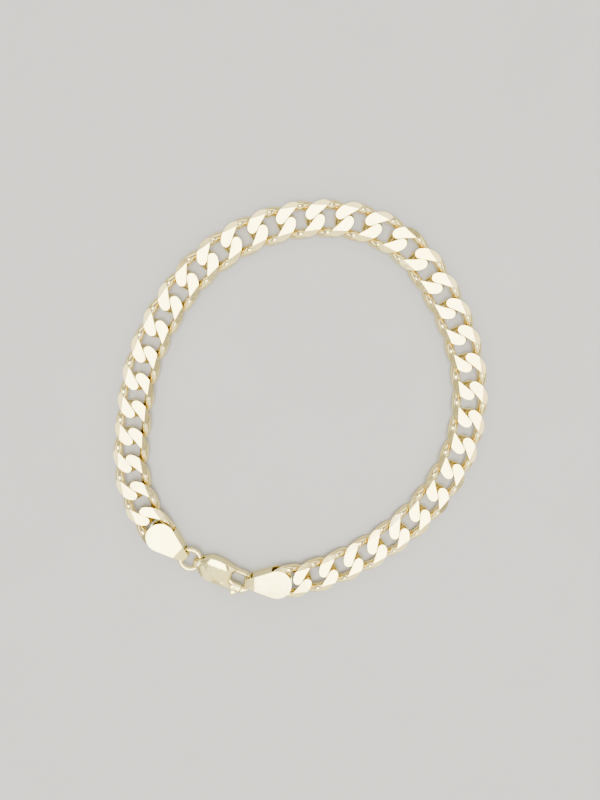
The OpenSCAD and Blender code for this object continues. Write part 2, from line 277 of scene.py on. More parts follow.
def planned(scene):
    """Where each piece lies: the stations of the links, tabs, ring and clasp along the route,
    added up from the sizes, with the route scaled to their sum."""
    chain, tab, clasp = (in_mm(g) for g in (scene.chain_sizes, scene.tab_sizes, scene.clasp_sizes))
    link_a = (chain.pitch + chain.play + chain.wire) / 2
    tab_h = chain.thickness + 2 * (tab.strap + tab.play)
    mid_z = tab_h / 2
    seat = link_a - chain.wire / 2 - tab.post_play - tab.post / 2 + POST_BACK
    half_neck = tab.neck / 2
    slope = (math.asin(tab.width / 2 / math.hypot(tab.reach, half_neck))
             - math.atan2(half_neck, tab.reach))
    neck_in = half_neck + tab.strap * math.tan(slope)

    def fold_sag(height):
        """How far the fold's inside has curved back at the top of a wire of this height."""
        r, over = FOLD_R - tab.strap, max(0.0, height / 2 - mid_z + FOLD_R)
        return r - math.sqrt(r * r - over * over)

    ring_r = (tab.ring - tab.ring_wire) / 2
    ring_fold = math.sqrt((ring_r - tab.ring_wire / 2 - GAP) ** 2 - neck_in ** 2) \
        - fold_sag(tab.ring_wire) - tab.strap
    ring_eye = (ring_r + math.sqrt(ring_r ** 2 - (EYE_W / 2) ** 2)) / 2
    hook_r, mouth_r = clasp.width / 2, neck_in + clasp.mouth_play
    hook_x, eye_x = clasp.length - hook_r, clasp.eye / 2
    mouth_end = clasp.length - clasp.rim_width
    mouth_x = mouth_end - clasp.mouth
    hook_fold = mouth_end - hook_x - clasp.fold_play - fold_sag(clasp.rim) - tab.strap
    s_tab_right = (chain.count - 1) * chain.pitch + seat
    s_hook = s_tab_right + tab.reach + hook_fold
    s_eye = s_hook + hook_x - eye_x
    s_tab_left = s_eye + ring_eye + ring_fold + tab.reach
    table = closed_route(s_tab_left + seat)
    eye_at = along(s_eye, table)
    hook_way = unit(along(s_hook, table) - eye_at)
    hook_at = eye_at + (hook_x - eye_x) * hook_way
    hold_at = hook_at + (hook_fold + tab.strap / 2) * hook_way
    ring_at = eye_at - ring_eye * hook_way
    pivot = np.array([mouth_x - PIVOT_BACK, -mouth_r])
    cheek_x, gate_end, lever_side = mouth_x + CHEEK_REACH, hook_x + GATE_OVER, -hook_r - clasp.shift
    wall_room = max(tab.ring_wire, clasp.rim_width + RIM_ROOM)
    return SimpleNamespace(
        chain=chain, tab=tab, clasp=clasp, table=table, link_a=link_a,
        link_b=(chain.width - chain.wire) / 2, tab_h=tab_h, mid_z=mid_z, slope=slope,
        ring_r=ring_r, hook_r=hook_r, mouth_r=mouth_r, hook_x=hook_x, eye_x=eye_x,
        mouth_x=mouth_x, mouth_end=mouth_end, lever_side=lever_side, pivot=pivot, cheek_x=cheek_x,
        gate_r=math.hypot(gate_end - pivot[0], lever_side - pivot[1]),
        thumb_x=(cheek_x + gate_end) / 2, ring_at=ring_at,
        wall_end=tab.reach - tab.strap - 2 * GAP - wall_room,
        tab_left=aimed(along(s_tab_left, table), ring_at, tab.reach + ring_fold, 0),
        tab_right=aimed(along(s_tab_right, table), hold_at, tab.reach - tab.strap / 2, 0),
        on_clasp=aimed(eye_at, hook_at, hook_x, mid_z))


def closed_route(loop):
    """The smooth closed curve 0.5 (2q + (r - p) t + (2p - 5q + 4r - s) t^2 + (3q - p - 3r + s) t^3)
    through the route's points, as its run and its places, scaled to the loop's length."""
    p, q, r, s = (np.roll(ROUTE, back, axis=0)[:, None, :] for back in (1, 0, -1, -2))
    t = (np.arange(ROUTE_STEPS) / ROUTE_STEPS)[None, :, None]
    curve = 0.5 * (2 * q + (r - p) * t + (2 * p - 5 * q + 4 * r - s) * t ** 2
                   + (3 * q - p - 3 * r + s) * t ** 3)
    curve = curve.reshape(-1, 2)
    curve = np.vstack([curve, curve[:1]])
    run = np.concatenate([[0], np.cumsum(np.linalg.norm(np.diff(curve, axis=0), axis=1))])
    return run * loop / run[-1], curve * loop / run[-1]


def along(s, table):
    """The place on the route after a run of s."""
    run, places = table
    return np.array([np.interp(s % run[-1], run, places[:, k]) for k in (0, 1)])


def turned(heading, slope=0.0):
    """Turn that tips the x axis up by the slope and then turns it to the heading."""
    c, s = math.cos(heading), math.sin(heading)
    ct, st = math.cos(slope), math.sin(slope)
    return (np.array([[c, -s, 0], [s, c, 0], [0, 0, 1]])
            @ np.array([[ct, 0, -st], [0, 1, 0], [st, 0, ct]]))


def aimed(start, target, reach, z):
    """Turn and shift of a piece whose x axis points at a target a set reach away."""
    way = unit(target - start)
    return turned(math.atan2(way[1], way[0])), np.append(target - reach * way, z)


def link_places(plan):
    """Turn and shift of each link: it faces along the route, and the first and last few are
    lifted towards the tabs by a power of how near they are."""
    count, pitch, middle = plan.chain.count, plan.chain.pitch, plan.chain.thickness / 2
    number = np.arange(-1, count + 1)
    near = np.minimum(number, count - 1 - number)
    lift = (plan.mid_z - middle) * np.maximum(0, 1 - near / LIFT_LINKS) ** LIFT_POWER
    rise = np.arctan((lift[2:] - lift[:-2]) / (2 * pitch))
    rise[[0, -1]] = 0
    rise[lift[1:-1] == 0] = 0
    places = []
    for i in range(count):
        s = i * pitch
        way = along(s + pitch / 2, plan.table) - along(s - pitch / 2, plan.table)
        spot = np.append(along(s, plan.table), middle + lift[i + 1])
        places.append((turned(math.atan2(way[1], way[0]), rise[i]), spot))
    return places


def grid_faces(rows, columns, wrap_rows, wrap_columns):
    """Squares between the points of a grid, wrapped round where it closes on itself."""
    i = np.arange(rows if wrap_rows else rows - 1)[:, None]
    k = np.arange(columns if wrap_columns else columns - 1)[None, :]
    ahead, beside = (i + 1) % rows, (k + 1) % columns
    corners = [i * columns + k, ahead * columns + k, ahead * columns + beside, i * columns + beside]
    return np.stack(corners, axis=-1).reshape(-1, 4)


def enclosed(points, faces):
    """Six times the volume inside the faces, from the fans of triangles that they split into."""
    total = 0.0
    for part in faces:
        first, second, third = points[part[:, :1]], points[part[:, 1:-1]], points[part[:, 2:]]
        total += float((first * np.cross(second, third)).sum())
    return total


def new_object(name, data):
    """An object in the scene that holds the data."""
    obj = bpy.data.objects.new(name, data)
    bpy.context.scene.collection.objects.link(obj)
    return obj


def solid(name, points, faces):
    """A working object with the points in millimetres and its faces turned outwards."""
    points = np.asarray(points, float).reshape(-1, 3)
    if enclosed(points, faces) < 0:
        faces = [part[:, ::-1] for part in faces]
    mesh = bpy.data.meshes.new(name)
    mesh.from_pydata(points.tolist(), [], [row for part in faces for row in part.tolist()])
    return new_object(name, mesh)


def prism(name, outline, low=-THROUGH, high=THROUGH, axis="z"):
    """A flat outline carried from low to high along an axis. The outline lies in x and y for
    the z axis, in x and z for the y axis, and in y and z for the x axis."""
    outline = np.asarray(outline, float)
    n = len(outline)
    points = np.vstack([np.column_stack([outline, np.full(n, end)]) for end in (low, high)])
    points = points[:, {"z": [0, 1, 2], "y": [0, 2, 1], "x": [2, 0, 1]}[axis]]
    i = np.arange(n)
    sides = np.stack([i, (i + 1) % n, (i + 1) % n + n, i + n], axis=-1)
    return solid(name, points, [i[None, ::-1], i[None, :] + n, sides])


def disc(middle, r, sides=96):
    """Points of a circle."""
    t = 2 * np.pi * np.arange(sides) / sides
    return np.asarray(middle) + r * np.stack([np.cos(t), np.sin(t)], axis=-1)


def arc(middle, r, start, end, steps=24):
    """Points of an arc between two angles in degrees."""
    t = np.radians(np.linspace(start, end, steps + 1))
    return np.asarray(middle) + r * np.stack([np.cos(t), np.sin(t)], axis=-1)


def oblong(x0, x1, y0, y1):
    """Corners of a rectangle."""
    return np.array([[x0, y0], [x1, y0], [x1, y1], [x0, y1]])


def settle(obj):
    """The object's mesh becomes what its modifiers make of it."""
    bpy.context.view_layer.update()
    graph = bpy.context.evaluated_depsgraph_get()
    made = bpy.data.meshes.new_from_object(obj.evaluated_get(graph), depsgraph=graph)
    obj.modifiers.clear()
    old, obj.data = obj.data, made
    bpy.data.meshes.remove(old)
    return obj


def discard(obj):
    """Throws a working object away."""
    mesh = obj.data
    bpy.data.objects.remove(obj)
    bpy.data.meshes.remove(mesh)


def carve(body, tool, way):
    """Joins, cuts or overlaps a body with a tool, and throws the tool away."""
    step = body.modifiers.new("Carve", "BOOLEAN")
    step.operation, step.solver, step.object = way, "EXACT", tool
    settle(body)
    discard(tool)
    return body


def closed_up(body, distance):
    """Adds the step that makes one of points nearer to each other than a distance."""
    weld = body.modifiers.new("Close", "WELD")
    weld.merge_threshold = distance
    return body


def skinned(body, grain):
    """Lays an even skin of small squares over a body and smooths it, which rounds its edges."""
    skin = body.modifiers.new("Skin", "REMESH")
    skin.mode, skin.voxel_size = "VOXEL", grain
    soften = body.modifiers.new("Soften", "SMOOTH")
    soften.factor, soften.iterations = 0.5, SMOOTHINGS
    settle(body)
    body.data.shade_smooth()
    return body


def eased(body, width, turn):
    """Rounds the crisp edges of a body by a small width and keeps its flat faces flat."""
    closed_up(body, SHORT_EDGE)
    ease = body.modifiers.new("Ease", "BEVEL")
    ease.width, ease.segments, ease.limit_method = width, 2, "ANGLE"
    ease.angle_limit, ease.harden_normals = math.radians(turn), True
    body.data.shade_smooth()
    return settle(body)


def spots_of(mesh):
    """The places of a mesh's points."""
    spots = np.empty(len(mesh.vertices) * 3)
    mesh.vertices.foreach_get("co", spots)
    return spots.reshape(-1, 3)


def piece(name, node, mesh, place, material, body="bracelet"):
    """A finished piece in the place of a CAD node: its mesh is turned and shifted, with its
    corner normals, and scaled to metres, and its object stays at the origin."""
    turn, shift = place
    normals = np.empty(len(mesh.loops) * 3)
    mesh.corner_normals.foreach_get("vector", normals)
    spots = (spots_of(mesh) @ turn.T + shift) * MM
    mesh.vertices.foreach_set("co", spots.ravel())
    mesh.update()
    mesh.normals_split_custom_set(normals.reshape(-1, 3) @ turn.T)
    mesh.materials.clear()
    mesh.materials.append(material)
    obj = new_object(name, mesh)
    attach(obj, body)
    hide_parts(node)


def link_line(t, a, b):
    """Middle line of a link's wire: x = a cos^(2/n) t and w = b sin^(2/n) t make a rounded
    rectangle, w turns out of the link's plane by the twist times -(x/a)^p, and the height is
    pressed down to its share."""
    share = signed_power(np.cos(t), 2 / SQUARENESS)
    w = b * signed_power(np.sin(t), 2 / SQUARENESS)
    twist = -TWIST * signed_power(share, TWIST_POWER)
    return np.stack([a * share, w * np.cos(twist), PRESSED * w * np.sin(twist)], axis=-1)


def even_steps(t, line, count):
    """Parameters that split a closed line into steps of equal length."""
    step = np.linalg.norm(np.diff(np.vstack([line, line[:1]]), axis=0), axis=1)
    run = np.concatenate([[0], np.cumsum(step)])
    return np.interp(np.arange(count) * run[-1] / count, run, np.append(t, t[0] + 2 * np.pi))


def link_skin(a, b, r):
    """Wire of a link: a circle of radius r carried along the link's middle line, and spread
    sideways by a share of sin^2 2t, where the pressing has flattened it."""
    t = 2 * np.pi * np.arange(LINE_STEPS) / LINE_STEPS
    t = even_steps(t, link_line(t, a, b), LINK_STATIONS)
    line = link_line(t, a, b)
    ahead = unit(link_line(t + NUDGE, a, b) - link_line(t - NUDGE, a, b))
    across = unit(np.cross(ahead, [0, 0, 1]))
    up = np.cross(across, ahead)
    wide = r * (1 + SPREAD * np.sin(2 * t) ** 2)[:, None, None]
    turn = (2 * np.pi * (np.arange(LINK_SIDES) + 0.5) / LINK_SIDES)[None, :, None]
    return line, (line[:, None, :] + wide * np.cos(turn) * across[:, None, :]
                  + r * np.sin(turn) * up[:, None, :])


def ground_section(chain):
    """Cross-section left by grinding: two flat faces with a bevel along each edge."""
    face, top = chain.width / 2 - chain.bevel, chain.thickness / 2
    side, low = chain.width / 2, chain.thickness / 2 - chain.drop
    quarter = np.array([[face, top], [side, low]])
    right = np.vstack([quarter, (quarter * [1, -1])[::-1]])
    return np.vstack([right, (right * [-1, 1])[::-1]])


def one_link(plan):
    """The link that all are copies of: its wire ground to the slab's section, with flat shading
    on the ground faces and a painted shade value that grows to one at its neighbours' wire, where
    the gold is darkened as painted shade between the links."""
    chain = plan.chain
    line, skin = link_skin(plan.link_a, plan.link_b, chain.round_wire / 2)
    link = solid("work_link", skin, [grid_faces(LINK_STATIONS, LINK_SIDES, True, True)])
    slab = prism("work_slab", ground_section(chain), -2 * plan.link_a, 2 * plan.link_a, "x")
    carve(link, slab, "INTERSECT")
    link.data.shade_smooth()
    link.data.set_sharp_from_angle(angle=math.radians(LINK_TURN))
    weigh = link.modifiers.new("Weigh", "WEIGHTED_NORMAL")
    weigh.weight, weigh.keep_sharp = 100, True
    settle(link)
    beside = np.vstack([line + [chain.pitch, 0, 0], line - [chain.pitch, 0, 0]])
    far = np.sqrt(((spots_of(link.data)[:, None, :] - beside[None, :, :]) ** 2).sum(-1)).min(1)
    # Painted shade: a value that darkens the gold near the neighbouring links' wire, where shade
    # falls between them
    value = np.clip(1 - (far - chain.wire / 2) / PAINTED_SHADE_REACH, 0, 1)
    mask = link.data.attributes.new("painted_shade", "FLOAT", "POINT")
    mask.data.foreach_set("value", value.astype(np.float32))
    return link


def teardrop(plan, margin=0.0):
    """Outline of a tab drawn in by a margin: a round end, and two tangents to the fold."""
    tab = plan.tab
    r, tip = tab.width / 2 - margin, tab.neck / 2 - margin / math.cos(plan.slope)
    turn = math.degrees(plan.slope)
    round_end = arc([0, 0], r, 90 - turn, 270 + turn, ROUND_END_STEPS)
    return np.vstack([round_end, [[tab.reach, -tip], [tab.reach, tip]]])


def strap_profile(plan):
    """A folded strap seen from the side: straight legs and a fold of two quarter rounds."""
    tab, h = plan.tab, plan.tab_h
    middle, back = tab.reach - FOLD_R, -tab.width
    rows = []
    for inset in (0, tab.strap):
        r = FOLD_R - inset
        rows.append(np.vstack([[[back, inset]], arc([middle, FOLD_R], r, -90, 0),
                               arc([middle, h - FOLD_R], r, 0, 90), [[back, h - inset]]]))
    return np.vstack([rows[0], rows[1][::-1]])


def one_tab(plan):
    """An end tab: the profile of a folded strap carried across, cut to a teardrop, with a
    filed facet behind the fold on both faces, side walls and a post."""
    tab, h = plan.tab, plan.tab_h
    inner_low, inner_high = tab.strap / 2, h - tab.strap / 2
    body = prism("work_tab", strap_profile(plan), -tab.width, tab.width, "y")
    carve(body, prism("work_outline", teardrop(plan), -PAST, h + PAST), "INTERSECT")
    walls = prism("work_walls", teardrop(plan), inner_low, inner_high)
    carve(walls, prism("work_hollow", teardrop(plan, tab.wall), 0, h), "DIFFERENCE")
    span = oblong(WALL_START, plan.wall_end, -tab.width, tab.width)
    carve(walls, prism("work_span", span, 0, h), "INTERSECT")
    post = prism("work_post", disc([-POST_BACK, 0], tab.post / 2), inner_low, inner_high)
    carve(walls, post, "UNION")
    start, end = tab.reach - tab.facet, tab.reach + PAST
    fall = tab.facet_fall * (end - start) / tab.facet
    for wedge in ([[start, h], [end, h - fall], [end, h + PAST], [start, h + PAST]],
                  [[start, 0], [start, -PAST], [end, -PAST], [end, fall]]):
        carve(body, prism("work_file", wedge, -tab.width, tab.width, "y"), "DIFFERENCE")
    carve(body, walls, "UNION")
    return eased(body, TAB_EASE, TAB_TURN)


def ring_skin(plan):
    """The jump ring: a circle carried round a larger circle, x = (R + r cos v) cos u,
    y = (R + r cos v) sin u and z = r sin v."""
    r = plan.tab.ring_wire / 2
    u = 2 * np.pi * np.arange(RING_STATIONS)[:, None] / RING_STATIONS
    v = 2 * np.pi * np.arange(RING_SIDES)[None, :] / RING_SIDES
    out = plan.ring_r + r * np.cos(v)
    return np.stack([out * np.cos(u), out * np.sin(u), r * np.sin(v) + 0 * u], axis=-1)


def smooth_through(x, points, values):
    """Cubics between the points that keep one slope at each: the mean of the slopes on its two
    sides, with the nearer side weighing more."""
    slope = np.gradient(values, points)
    k = np.clip(np.searchsorted(points, x, side="right") - 1, 0, len(points) - 2)
    h = points[k + 1] - points[k]
    t = np.clip((x - points[k]) / h, 0, 1)
    return ((2 * t ** 3 - 3 * t ** 2 + 1) * values[k] + (t ** 3 - 2 * t ** 2 + t) * h * slope[k]
            + (3 * t ** 2 - 2 * t ** 3) * values[k + 1] + (t ** 3 - t ** 2) * h * slope[k + 1])


def clasp_height(x, plan):
    """Half height of the clasp: the eye's half circle, a slow rise to the full height, then a
    roll down to the hook's rim."""
    r, rim = plan.eye_x, plan.clasp.rim / 2
    nose = np.sqrt(np.maximum(0, r ** 2 - (np.minimum(x, r) - r) ** 2))
    rows = np.vstack([[r / plan.hook_x, r / plan.mid_z], CLASP_SIDE,
                      [plan.clasp.length / plan.hook_x, rim / plan.mid_z]])
    body = smooth_through(x / plan.hook_x, rows[:, 0], rows[:, 1]) * plan.mid_z
    return np.where(x < r, nose, body)


def clasp_outline(plan, side):
    """One side of the clasp seen from above, from the tip of its eye to the end of its hook,
    about a line that shifts evenly to the hook's middle."""
    share = np.linspace(0, 1, STEM_STEPS)[:-1]
    column = CLASP_PLAN[:, 1 if side > 0 else 2]
    width = smooth_through(share, CLASP_PLAN[:, 0], column) * plan.hook_r
    nose = np.outer(NOSE, [0, side * width[0]])
    stem = np.column_stack([share * plan.hook_x, side * width - share * plan.clasp.shift])
    swing = np.radians(np.linspace(0, 90, SWING_STEPS))
    end = plan.hook_r * np.column_stack([np.sin(swing), side * np.cos(swing)])
    return np.vstack([nose, stem, end + [plan.hook_x, -plan.clasp.shift]])


def clasp_section(share, bands, far):
    """Closed half sections of the clasp: from the spine over the top, down the falling band and
    the wall, and the same below, as shares of the way from edge to spine and of the height. The
    band's height over its width goes from a straight bevel to a quarter round with its
    softness."""
    band, soft, left = (np.interp(share, bands[:, 0], bands[:, k])[:, None] for k in (1, 2, 3))
    crease = np.minimum(band / far, BAND_MOST)
    top = 1 - (1 - crease) * np.linspace(0, 1, TOP_STEPS)
    fall = crease * np.linspace(1, 0, FALL_STEPS)[1:]
    depth = np.concatenate([top, fall], axis=1)
    ratio = np.clip(depth / crease, 0, 1)
    bent = (1 - soft) * ratio + soft * np.sin(ratio * np.pi / 2) ** SOFT_POWER
    wall = left * np.linspace(1, 0, WALL_STEPS)[1:]
    depth = np.concatenate([depth, 0 * wall], axis=1)
    rise = np.concatenate([left + (1 - left) * bent, wall], axis=1)
    return (np.concatenate([depth, depth[:, -2::-1]], axis=1),
            np.concatenate([rise, -rise[:, -2::-1]], axis=1))


def clasp_shell(plan):
    """The clasp before it is cut: stations run from the eye to the hook's end on both sides, and
    each carries a section between its edge and the spine, scaled by the height and the lean."""
    halves = []
    for side, bands in ((1, INNER_BAND), (-1, LEVER_BAND)):
        edge = clasp_outline(plan, side)
        middle = np.clip(edge[:, 0], SPINE_START, plan.hook_x)
        spine = np.column_stack([middle, -plan.clasp.shift * middle / plan.hook_x])
        inward = spine - edge
        far = np.linalg.norm(inward, axis=1, keepdims=True)
        depth, rise = clasp_section(edge[:, 0] / plan.hook_x, bands, far)
        x = edge[:, :1] + inward[:, :1] * depth
        y = edge[:, 1:] + inward[:, 1:] * depth
        lean = np.interp(x / plan.hook_x, CLASP_LEAN[:, 0], CLASP_LEAN[:, 1])
        rise = rise * (1 + lean * np.minimum(y - LEAN_START, 0))
        halves.append(np.stack([x, y, clasp_height(x, plan) * rise], axis=-1))
    loop = np.concatenate([halves[0], halves[1][:, -2:0:-1]], axis=1)
    rows, columns = loop.shape[:2]
    shell = solid("work_shell", loop, [grid_faces(rows, columns, False, True)])
    return settle(closed_up(shell, SAME_SPOT))


def mouth_outline(plan, margin=0.0):
    """The open mouth, a rectangle with round corners, let out by a margin."""
    near, far = plan.mouth_x + MOUTH_CORNER, plan.mouth_end - MOUTH_CORNER
    side, r = plan.mouth_r - MOUTH_CORNER, MOUTH_CORNER + margin
    return np.vstack([arc([far, -side], r, -90, 0), arc([far, side], r, 0, 90),
                      arc([near, side], r, 90, 180), arc([near, -side], r, 180, 270)])


def mouth_tools(plan):
    """Tools that cut the mouth: a straight one, and one above and below that widen it by the
    flare from the depth of the flare to the rim's face, and a little past it."""
    top, flare = plan.clasp.rim / 2, plan.clasp.flare
    yield prism("work_mouth", mouth_outline(plan))
    wide = mouth_outline(plan, (1 + FLARE_SPARE) * flare)
    rings = ((mouth_outline(plan), top - flare), (wide, top + FLARE_SPARE * flare), (wide, 2 * top))
    n = len(wide)
    caps, sides = np.arange(n)[None, :], grid_faces(len(rings), n, False, True)
    for way in (1, -1):
        rows = [np.column_stack([outline, np.full(n, way * z)]) for outline, z in rings]
        yield solid("work_flare", np.vstack(rows), [caps[:, ::-1], caps + 2 * n, sides])


def gate_region(plan, r, start):
    """What the lever's end sweeps: a disc about the pin, beyond a start on the lever's side."""
    region = prism("work_gate", disc(plan.pivot, r, GATE_SIDES))
    side = oblong(start, start + plan.clasp.width, -plan.clasp.width, 0)
    return carve(region, prism("work_side", side, -THROUGH - 1, THROUGH + 1), "INTERSECT")


def clasp_body(plan):
    """The clasp's body: the shell less its mouth, the lever's slot and sweep, the eye's hole
    and the pin's bore."""
    clasp, pivot = plan.clasp, plan.pivot
    body = clasp_shell(plan)
    hole = disc([plan.eye_x, 0], clasp.eye_hole / 2)
    carve(body, prism("work_eye", hole, axis="y"), "DIFFERENCE")
    for tool in mouth_tools(plan):
        carve(body, tool, "DIFFERENCE")
    half, room = (clasp.lever + GAP) / 2, clasp.pin / 2 + BOSS_WALL + GAP
    for part in (disc(pivot, room),
                 oblong(pivot[0], plan.cheek_x + GAP, -clasp.width, pivot[1] + 2 * room),
                 oblong(pivot[0] - room, pivot[0] + room, -clasp.width, pivot[1])):
        carve(body, prism("work_slot", part, -half, half), "DIFFERENCE")
    carve(body, gate_region(plan, plan.gate_r + GAP, plan.cheek_x), "DIFFERENCE")
    bore = disc(pivot, clasp.pin / 2 + PIN_FIT)
    carve(body, prism("work_bore", bore), "DIFFERENCE")
    return skinned(body, BODY_GRAIN)


def pebble(name, middle, reach):
    """A rounded block: a squarish circle, cos^p u and sin^p u, carried over a squarer half
    circle, cos^q v and sin^q v, each times its reach."""
    u = 2 * np.pi * np.arange(KNOB_ROUND)[:, None] / KNOB_ROUND
    v = np.radians(np.linspace(-90, 90, KNOB_HIGH))[None, :]
    ring = signed_power(np.cos(v), KNOB_SIDE_POWER)
    points = np.stack([reach[0] * ring * signed_power(np.cos(u), KNOB_PLAN_POWER),
                       reach[1] * ring * signed_power(np.sin(u), KNOB_PLAN_POWER),
                       reach[2] * signed_power(np.sin(v), KNOB_SIDE_POWER) + 0 * u], axis=-1)
    faces = [grid_faces(KNOB_ROUND, KNOB_HIGH, True, False)]
    return settle(closed_up(solid(name, points + np.asarray(middle), faces), SAME_SPOT))


def clasp_lever(plan):
    """The lever: its end is the hook's rim where the gate sweeps, on a flat arm that turns
    about the pin and a thumb tab that stands out at the side."""
    clasp, pivot = plan.clasp, plan.pivot
    half = clasp.lever / 2
    lever = clasp_shell(plan)
    carve(lever, gate_region(plan, plan.gate_r, plan.cheek_x + GAP), "INTERSECT")
    for tool in mouth_tools(plan):
        carve(lever, tool, "DIFFERENCE")
    boss = clasp.pin / 2 + BOSS_WALL
    carve(lever, prism("work_boss", disc(pivot, boss), -half, half), "UNION")
    end = plan.cheek_x + 3 * GAP
    arm = [pivot - [0, boss], [end, -plan.mouth_r - ARM_W], [end, -plan.mouth_r],
           pivot + [0, boss]]
    carve(lever, prism("work_arm", arm, -half, half), "UNION")
    wide, tip = clasp.thumb_width / 2, plan.lever_side - clasp.thumb - THUMB_OVER
    neck, high = STEM_WIDE * wide, STEM_HIGH * half
    stem = oblong(plan.thumb_x - neck, plan.thumb_x + neck, tip + wide, tip + wide + clasp.thumb)
    carve(lever, prism("work_stem", stem, -high, high), "UNION")
    knob = pebble("work_knob", [plan.thumb_x, tip + wide, 0], [wide, wide, half])
    carve(lever, knob, "UNION")
    bore = disc(pivot, clasp.pin / 2 + PIN_PLAY)
    carve(lever, prism("work_bore", bore), "DIFFERENCE")
    return skinned(lever, LEVER_GRAIN)


def pivot_pin(plan):
    """The pin: a round bar cut flush with the clasp's surface at both ends."""
    pin = prism("work_pin", disc(plan.pivot, plan.clasp.pin / 2))
    carve(pin, clasp_shell(plan), "INTERSECT")
    return eased(pin, PIN_EASE, PIN_TURN)


def new_group(name, inputs, outputs):
    """A shader node group with named inputs and outputs, and its two end nodes."""
    group = bpy.data.node_groups.new(name, "ShaderNodeTree")
    for label, kind, value in inputs:
        socket = group.interface.new_socket(label, in_out="INPUT",
                                            socket_type="NodeSocket" + kind)
        if value is not None:
            socket.default_value = value
    for label, kind in outputs:
        group.interface.new_socket(label, in_out="OUTPUT", socket_type="NodeSocket" + kind)
    return group, group.nodes.new("NodeGroupInput"), group.nodes.new("NodeGroupOutput")


def feed(tree, socket, value):
    """Links a socket to another, or sets its value."""
    if isinstance(value, bpy.types.NodeSocket):
        tree.links.new(value, socket)
    else:
        socket.default_value = value


def add_node(tree, kind, settings):
    """Adds a node, sets its attributes, and feeds its sockets."""
    node = tree.nodes.new(kind)
    for key, value in settings.items():
        if isinstance(key, str) and hasattr(node, key):
            setattr(node, key, value)
        else:
            feed(tree, node.inputs[key], value)
    return node


def mixed(tree, share, first, second):
    """The colour that a Mix node gives from two colours, each a socket or a value."""
    node = add_node(tree, "ShaderNodeMix", {"data_type": "RGBA", "Factor": share})
    for label, colour in (("A", first), ("B", second)):
        feed(tree, next(s for s in node.inputs if s.name == label and s.type == "RGBA"), colour)
    return next(s for s in node.outputs if s.type == "RGBA")


def gold_tone_and_shade_group(name):
    """Two golds mixed by a soft cloud, and painted shade: darker gold where the painted shade value
    is high, near the neighbouring links.
    """
    group, start, end = new_group(name, [
        ("Coordinates", "Vector", None), ("Pale", "Color", None),
        ("Warm", "Color", None), ("Shaded Gold", "Color", None),
        ("Cloud Scale", "Float", 260.0), ("Painted Shade", "Float", 0.0)],
        [("Color", "Color")])
    given = start.outputs
    cloud = add_node(group, "ShaderNodeTexNoise", {
        "Vector": given["Coordinates"], "Scale": given["Cloud Scale"],
        "Detail": 3.0, "Roughness": 0.55})
    spread = add_node(group, "ShaderNodeMapRange", {
        "Value": cloud.outputs["Fac"], "From Min": 0.35, "From Max": 0.7})
    base = mixed(group, spread.outputs["Result"], given["Pale"], given["Warm"])
    # Painted shade: mixes towards the shaded gold by a power of the painted shade value
    shade = add_node(group, "ShaderNodeMath", {
        "operation": "POWER", 0: given["Painted Shade"], 1: PAINTED_SHADE_POWER})
    group.links.new(mixed(group, shade.outputs[0], base, given["Shaded Gold"]), end.inputs["Color"])
    return group


def polish_group(name):
    """Fine marks left by polishing, in two crossing directions over a slow wave, and a
    roughness that drifts in small patches."""
    group, start, end = new_group(name, [
        ("Coordinates", "Vector", None), ("Smooth", "Float", 0.12),
        ("Worn", "Float", 0.28), ("Marks", "Float", 0.25)],
        [("Height", "Float"), ("Roughness", "Float")])
    place = start.outputs["Coordinates"]
    sheets = []
    for turn, stretch in MARK_SHEETS:
        mapping = add_node(group, "ShaderNodeMapping", {
            "Vector": place, "Rotation": (0, 0, turn), "Scale": stretch})
        marks = add_node(group, "ShaderNodeTexNoise", {
            "Vector": mapping.outputs["Vector"], "Scale": 1.0, "Detail": 2.0})
        sheets.append(marks.outputs["Fac"])
    both = add_node(group, "ShaderNodeMath", {"operation": "ADD", 0: sheets[0], 1: sheets[1]})
    fine = add_node(group, "ShaderNodeMath", {
        "operation": "MULTIPLY", 0: both.outputs[0], 1: start.outputs["Marks"]})
    wave = add_node(group, "ShaderNodeTexNoise", {"Vector": place, "Scale": 700.0, "Detail": 1.0})
    total = add_node(group, "ShaderNodeMath", {
        "operation": "MULTIPLY_ADD", 0: wave.outputs["Fac"], 1: WAVE_SHARE, 2: fine.outputs[0]})
    group.links.new(total.outputs[0], end.inputs["Height"])
    patch = add_node(group, "ShaderNodeTexNoise", {
        "Vector": place, "Scale": 1500.0, "Detail": 4.0, "Roughness": 0.6})
    rough = add_node(group, "ShaderNodeMapRange", {
        "Value": patch.outputs["Fac"], "From Min": 0.3, "From Max": 0.75,
        "To Min": start.outputs["Smooth"], "To Max": start.outputs["Worn"]})
    group.links.new(rough.outputs["Result"], end.inputs["Roughness"])
    return group


def group_node(tree, name, make, settings):
    """A node that holds a shared group, which is made the first time, with its sockets fed."""
    node = tree.nodes.new("ShaderNodeGroup")
    node.node_tree = bpy.data.node_groups.get(name) or make(name)
    for label, value in settings.items():
        feed(tree, node.inputs[label], value)
    return node


def new_material(name):
    """A material with nodes, its node tree and its shader."""
    material = bpy.data.materials.new(name)
    material.use_nodes = True
    return material, material.node_tree, material.node_tree.nodes["Principled BSDF"]


